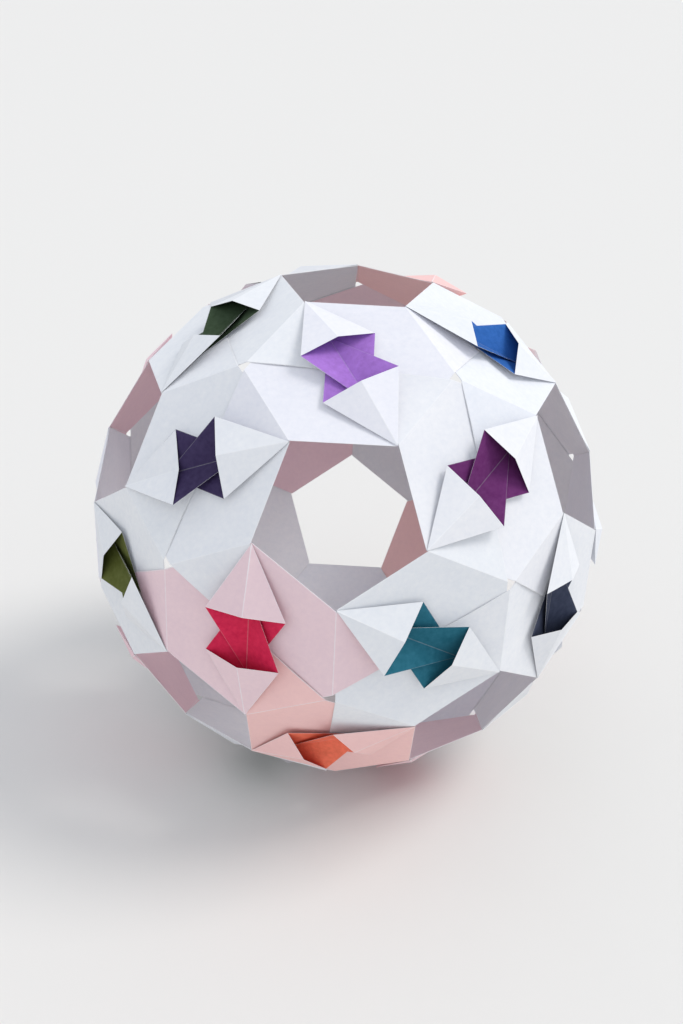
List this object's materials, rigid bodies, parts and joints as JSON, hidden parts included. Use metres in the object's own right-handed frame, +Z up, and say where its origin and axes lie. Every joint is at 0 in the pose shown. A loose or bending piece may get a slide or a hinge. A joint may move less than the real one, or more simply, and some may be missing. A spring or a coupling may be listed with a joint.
{
  "type": "modular folded paper ball",
  "caption": "Hollow ball of folded square paper sheets tucked into one another, white outside, with open pentagons and raised petals that show each sheet's coloured side.",
  "frame": {"origin": "middle of the ball", "axes": "+Z up through the middle of the top pentagon; -Y towards the front, where a pentagon of the upper ring faces"},
  "size_m": [0.257, 0.2524, 0.2434],
  "materials": {
    "lilac_paper": "uncoated folding paper, coloured inside and white outside",
    "blue_paper": "uncoated folding paper, coloured inside and white outside",
    "green_paper": "uncoated folding paper, coloured inside and white outside",
    "plum_paper": "uncoated folding paper, coloured inside and white outside",
    "indigo_paper": "uncoated folding paper, coloured inside and white outside",
    "teal_paper": "uncoated folding paper, coloured inside and white outside",
    "crimson_paper": "uncoated folding paper, coloured inside and white outside",
    "navy_paper": "uncoated folding paper, coloured inside and white outside",
    "olive_paper": "uncoated folding paper, coloured inside and white outside",
    "coral_paper": "uncoated folding paper, coloured inside and white outside",
    "rose_paper": "uncoated folding paper, coloured inside and white outside",
    "grey_paper": "uncoated folding paper, coloured inside and white outside"
  },
  "bodies": {
    "root": {"base_sheet_1": "crimson_paper", "base_sheet_2": "lilac_paper", "base_sheet_3": "blue_paper", "base_sheet_4": "indigo_paper", "base_sheet_5": "green_paper", "lower_sheet_1": "coral_paper", "lower_sheet_2": "green_paper", "lower_sheet_3": "coral_paper", "lower_sheet_4": "plum_paper", "lower_sheet_5": "rose_paper", "middle_sheet_1": "teal_paper", "middle_sheet_10": "crimson_paper", "middle_sheet_2": "navy_paper", "middle_sheet_3": "blue_paper", "middle_sheet_4": "olive_paper", "middle_sheet_5": "grey_paper", "middle_sheet_6": "rose_paper", "middle_sheet_7": "navy_paper", "middle_sheet_8": "lilac_paper", "middle_sheet_9": "olive_paper", "top_sheet_1": "lilac_paper", "top_sheet_2": "blue_paper", "top_sheet_3": "coral_paper", "top_sheet_4": "grey_paper", "top_sheet_5": "green_paper", "upper_sheet_1": "plum_paper", "upper_sheet_2": "teal_paper", "upper_sheet_3": "crimson_paper", "upper_sheet_4": "rose_paper", "upper_sheet_5": "indigo_paper"}
  },
  "joints": []
}
